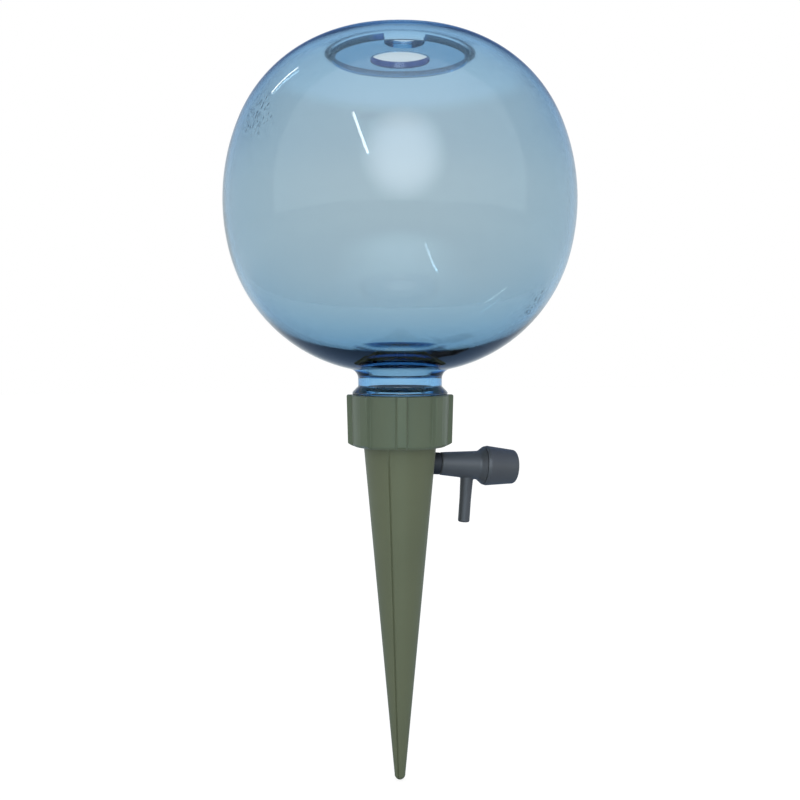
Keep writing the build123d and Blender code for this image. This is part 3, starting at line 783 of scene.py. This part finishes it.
# %% Ball
EDGE = 0.25 * MM                       # rounding of small edges
GLOBE_WALL = 2.0 * MM
BELT_ARC = 69.4 * MM
UPPER_ARC = 48.8 * MM
UPPER_START = 22.9                     # degrees above the belt
LOWER_ARC = 53.5 * MM
LOWER_START = -14.8
SHOULDER_EXTRA = 3.7 * MM              # how much tighter the inside curves towards the neck
CROWN_EXTRA = 0.9 * MM                 # and towards the crown
NECK_RADIUS = 14.4 * MM
NECK_BORE = 10.9 * MM
NECK_ROOT = 12.5 * MM
NECK_FILLET = 3.5 * MM
SHOULDER_FILLET = 5.0 * MM
FLANGE_RADIUS = 16.4 * MM
FLANGE_EDGE = 0.7 * MM
FLANGE_BEVEL = 2.0 * MM
FLANGE_GAP = 0.2 * MM
OPENING_RADIUS = 24.4 * MM
OPENING_RIM = 1.0 * MM
RECESS_RADIUS = 26.3 * MM
RECESS_DEPTH = 1.2 * MM
THREAD_START = 2.2 * MM
BALL_STEPS = 288

COLLAR_TOP = spike_high.z
NECK_MOUTH = globe_low.z
RIM = globe_high.z
RING_TOP = RIM - RECESS_DEPTH
RING_BOTTOM = RING_TOP - OPENING_RIM
BELT = (GLOBE_RADIUS - BELT_ARC, EQUATOR)


def shell_side(wall, shoulder, crown, neck, fillet, top_angle):
    """One side of the ball's wall, from the neck up to where the opening's recess or ring cuts it off."""
    lower_radius = LOWER_ARC - wall - shoulder
    lower = on_circle(BELT, BELT_ARC - wall - lower_radius, LOWER_START)
    upper_radius = UPPER_ARC - wall - crown
    upper = on_circle(BELT, BELT_ARC - wall - upper_radius, UPPER_START)
    out = neck + fillet - lower.x
    drop = math.sqrt((lower_radius + fillet) ** 2 - out ** 2)
    touch = -math.degrees(math.atan2(drop, out))
    corner = (neck + fillet, lower.y - drop)
    points = arc(corner, fillet, 180, touch + 180)
    points += arc(lower, lower_radius, touch, LOWER_START)[1:]
    points += arc(BELT, BELT_ARC - wall, LOWER_START, UPPER_START)[1:]
    points += arc(upper, upper_radius, UPPER_START, top_angle(upper, upper_radius))[1:]
    return points


def angle_at_recess(centre, radius):
    return math.degrees(math.acos((RECESS_RADIUS + EDGE - centre.x) / radius))


def angle_at_ring(centre, radius):
    return math.degrees(math.asin((RING_BOTTOM - EDGE - centre.y) / radius))


def ball_outline():
    flange = COLLAR_TOP + FLANGE_GAP
    outside = shell_side(0, 0, 0, NECK_RADIUS, NECK_FILLET, angle_at_recess)
    inside = shell_side(GLOBE_WALL, SHOULDER_EXTRA, CROWN_EXTRA, NECK_BORE, SHOULDER_FILLET, angle_at_ring)
    neck = [
        (*inside[0], 0),
        (NECK_BORE, NECK_MOUTH, EDGE),
        (NECK_ROOT, NECK_MOUTH, EDGE),
        (NECK_ROOT, flange, EDGE),
        (FLANGE_RADIUS, flange, EDGE),
        (FLANGE_RADIUS, flange + FLANGE_EDGE, EDGE),
        (NECK_RADIUS, flange + FLANGE_EDGE + FLANGE_BEVEL, EDGE),
        (*outside[0], 0),
    ]
    rim = [
        (*outside[-1], 0),
        (RECESS_RADIUS, RIM, EDGE),
        (RECESS_RADIUS, RING_TOP, EDGE),
        (OPENING_RADIUS, RING_TOP, EDGE),
        (OPENING_RADIUS, RING_BOTTOM, EDGE),
        (inside[-1].x - EDGE, RING_BOTTOM, EDGE),
        (*inside[-1], 0),
    ]
    return rounded(neck)[1:-1] + outside + rounded(rim)[1:-1] + inside[::-1]


ball = turned("reservoir_ball", ball_outline(), clear_plastic, BALL_STEPS)
neck_thread = ridge("neck_thread", NECK_ROOT, 1, NECK_MOUTH + THREAD_START, clear_plastic)
ball = combined(ball, neck_thread, "UNION")
piece("reservoir_ball", ball, "globe", "reservoir_globe")

# %% [markdown]
# ## The lid
# The lid is a loose dish that lies in the opening. Water is poured in through its round hole, and a
# finger gets under it through the notch, a second hole in its floor beside the wall. It is turned on
# the lathe like the ball, and the notch is cut out of its floor afterwards.

# %% Lid
lid_low, lid_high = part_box("filler_lid")
LID_LEDGE = 1.6 * MM                   # how far the flange lies over the edge of the opening
LID_DRAFT = math.radians(8)
LID_FLOOR = 2.6 * MM
LID_WALL = 1.0 * MM
LID_CLEARANCE = 0.3 * MM
LID_ROUNDING = 0.5 * MM                # inside, between floor and wall
LID_CORNER = 0.6 * MM                  # outside, at the foot of the wall
FILL_HOLE_RADIUS = 10.0 * MM
NOTCH_WIDTH = 13.0 * MM
NOTCH_REACH = 14.0 * MM
NOTCH_BEARING = math.radians(-100)
LID_STEPS = 256
LID_FOOT = OPENING_RADIUS - LID_CLEARANCE - (RING_TOP - lid_low.z) * math.tan(LID_DRAFT)


def lid_outline():
    plug = OPENING_RADIUS - LID_CLEARANCE
    flange = OPENING_RADIUS + LID_LEDGE
    floor_top = lid_low.z + LID_FLOOR
    return rounded([
        (FILL_HOLE_RADIUS, lid_low.z, EDGE),
        (LID_FOOT, lid_low.z, LID_CORNER),
        (plug, RING_TOP, EDGE),
        (flange, RING_TOP, EDGE),
        (flange, lid_high.z, EDGE),
        (plug - LID_WALL, lid_high.z, EDGE),
        (LID_FOOT - LID_WALL, floor_top, LID_ROUNDING),
        (FILL_HOLE_RADIUS, floor_top, EDGE),
    ])


def notch_plan(bends=32):
    """The finger notch from above: a round end, straight sides and the curve of the lid's wall."""
    half = NOTCH_WIDTH / 2
    middle = NOTCH_REACH + half
    wall = LID_FOOT - LID_WALL
    spread = math.degrees(math.asin(half / wall))
    turns = [90 + 180 * i / bends for i in range(bends + 1)]
    plan = [on_circle((middle, 0), half, turn) for turn in turns]
    return plan + arc((0, 0), wall, -spread, spread)


def notch_cutter(finish):
    """A solid with the notch's plan that reaches through the lid's floor."""
    shape = bmesh.new()
    face = shape.faces.new([shape.verts.new((x, y, lid_low.z - LID_FLOOR)) for x, y in notch_plan()])
    grown = bmesh.ops.extrude_face_region(shape, geom=[face])["geom"]
    raised = [part for part in grown if isinstance(part, bmesh.types.BMVert)]
    bmesh.ops.translate(shape, verts=raised, vec=(0, 0, 2 * LID_FLOOR + LID_ROUNDING))
    bmesh.ops.recalc_face_normals(shape, faces=shape.faces)
    mesh = bpy.data.meshes.new("notch_cutter")
    shape.to_mesh(mesh)
    shape.free()
    mesh.materials.append(finish)
    mesh.transform(Matrix.Rotation(NOTCH_BEARING, 4, "Z"))
    return mesh


lid = turned("lid", lid_outline(), lid_plastic, LID_STEPS)
lid = combined(lid, notch_cutter(lid_plastic), "DIFFERENCE")
piece("lid", lid, "lid", "filler_lid")

# %% [markdown]
# ## The spike
# The spike and its collar are one moulding: a hollow cone with a rounded tip, and a cup with eight
# broad grip ribs on top. A fine seam runs down each side where the mould's halves met. The outline
# carries a weight for the ribs on the collar's wall and one for the seam on the cone, and the lathe
# tree does the rest. The hole for the valve is cut through the side, and the collar's thread is added.

# %% Spike
SPIKE_TOP_RADIUS = 12.5 * MM
SPIKE_TIP_RADIUS = 1.9 * MM
SPIKE_WALL = 2.0 * MM
CHAMBER_DEPTH = 30 * MM
CHAMBER_POINT = 6 * MM
SOCKET_FLOOR = 39.9 * MM
SOCKET_RADIUS = 13.95 * MM
PASSAGE_RADIUS = 10.0 * MM
COLLAR_RADIUS = 16.45 * MM
COLLAR_DRAFT = math.radians(1.5)
COLLAR_EDGE = 1.2 * MM
CORNER_FILLET = 0.5 * MM
COLLAR_THREAD = 45.69 * MM             # height at which the collar's thread starts
GROMMET_RADIUS = 3.25 * MM
RIBS = {
    "rib_count": 8, "rib_bearing": math.radians(-12), "rib_height": 1.5 * MM,
    "rib_crest": 2.7 * MM, "rib_foot": 4.3 * MM,
    "seam_bearing": math.radians(-122), "seam_depth": 0.45 * MM,
}
SPIKE_STEPS = 720
CONE_ROWS = 24
TIP_ROWS = 10
SEAMLESS_ROWS = 4                      # rows at the tip that the seam leaves out
DRILL_STEPS = 96


def spike_cone():
    """Half angle of the cone, which runs from the top edge to the round tip without a kink."""
    rise = SPIKE_TOP - (spike_low.z + SPIKE_TIP_RADIUS)
    slant = math.hypot(SPIKE_TOP_RADIUS, rise)
    return math.atan2(SPIKE_TOP_RADIUS, rise) - math.asin(SPIKE_TIP_RADIUS / slant)


CONE = spike_cone()


def cone_radius(height):
    return SPIKE_TOP_RADIUS - (SPIKE_TOP - height) * math.tan(CONE)


def spike_outline():
    """Outline from the tip up the outside and down the inside, with its rib and seam weights."""
    tip_centre = (0, spike_low.z + SPIKE_TIP_RADIUS)
    round_part = 90 + math.degrees(CONE)
    turns = [-90 + i * round_part / TIP_ROWS for i in range(TIP_ROWS + 1)]
    tip = [on_circle(tip_centre, SPIKE_TIP_RADIUS, turn) for turn in turns]
    tip[0].x = 0
    heights = [tip[-1].y + (SPIKE_TOP - tip[-1].y) * (i + 1) / (CONE_ROWS + 1) for i in range(CONE_ROWS)]
    side = [Vector((cone_radius(height), height)) for height in heights]
    drift = (COLLAR_TOP - SPIKE_TOP) * math.tan(COLLAR_DRAFT)
    chamber_wall = SPIKE_WALL / math.cos(CONE)
    collar = rounded([
        (*side[-1], 0),
        (SPIKE_TOP_RADIUS, SPIKE_TOP, CORNER_FILLET),
        (COLLAR_RADIUS, SPIKE_TOP, COLLAR_EDGE),
        (COLLAR_RADIUS + drift, COLLAR_TOP, CORNER_FILLET),
        (SOCKET_RADIUS, COLLAR_TOP, EDGE),
        (SOCKET_RADIUS, SOCKET_FLOOR, EDGE),
        (PASSAGE_RADIUS, SOCKET_FLOOR, EDGE),
        (cone_radius(SPIKE_TOP) - chamber_wall, SPIKE_TOP, 0),
        (cone_radius(-CHAMBER_DEPTH) - chamber_wall, -CHAMBER_DEPTH, EDGE),
        (0, -CHAMBER_DEPTH - CHAMBER_POINT, 0),
    ])
    points = tip + side + collar[1:]
    on_wall = COLLAR_RADIUS - 2 * COLLAR_EDGE
    risen = [min(1.0, (point.y - SPIKE_TOP) / COLLAR_EDGE) for point in points]
    ribs = [share if point.x > on_wall else 0.0 for share, point in zip(risen, points)]
    seam_rows = range(SEAMLESS_ROWS, len(tip) + len(side))
    seams = [1.0 if i in seam_rows else 0.0 for i in range(len(points))]
    return points, {"rib": ribs, "seam": seams}


def valve_frame():
    """The valve's own frame: Z out along its axis, X down along the nozzle."""
    joint = next(joint for joint in frame["joints"] if joint["name"] == "valve_swivel")
    out = Vector(joint["axis"]).normalized()
    across = Vector((0, 1, 0))
    down = across.cross(out)
    turn = Matrix((down, across, out)).transposed().to_4x4()
    return Matrix.Translation(Vector(joint["pos_m"])) @ turn


VALVE = valve_frame()
outline, weights = spike_outline()
spike = turned("spike", outline, green, SPIKE_STEPS, weights, **RIBS)
collar_thread = ridge("collar_thread", SOCKET_RADIUS, -1, COLLAR_THREAD, green)
spike = combined(spike, collar_thread, "UNION")
inner, outer = -2 * SPIKE_WALL, SPIKE_WALL
hole = [(0, inner), (GROMMET_RADIUS, inner), (GROMMET_RADIUS, outer), (0, outer)]
drill = turned("drill", [Vector(point) for point in hole], green, DRILL_STEPS)
drill.transform(VALVE)
spike = combined(spike, drill, "DIFFERENCE")
piece("spike", spike, "spike", "ground_spike")

# %% [markdown]
# ## The other parts
# The valve's body, its knob and spindle, and the rubber seals already have the right shape, so they
# stay as they are and only take their finish.

# %% Finishes of the other parts
for name, finish in {
    "valve_body": grey, "regulator_knob": grey, "valve_spindle": grey,
    "valve_grommet": rubber, "neck_gasket": rubber, "spindle_ring": rubber,
}.items():
    mesh = nodes[name].data
    mesh.materials.clear()
    mesh.materials.append(finish)
    print(name, "in", finish.name)
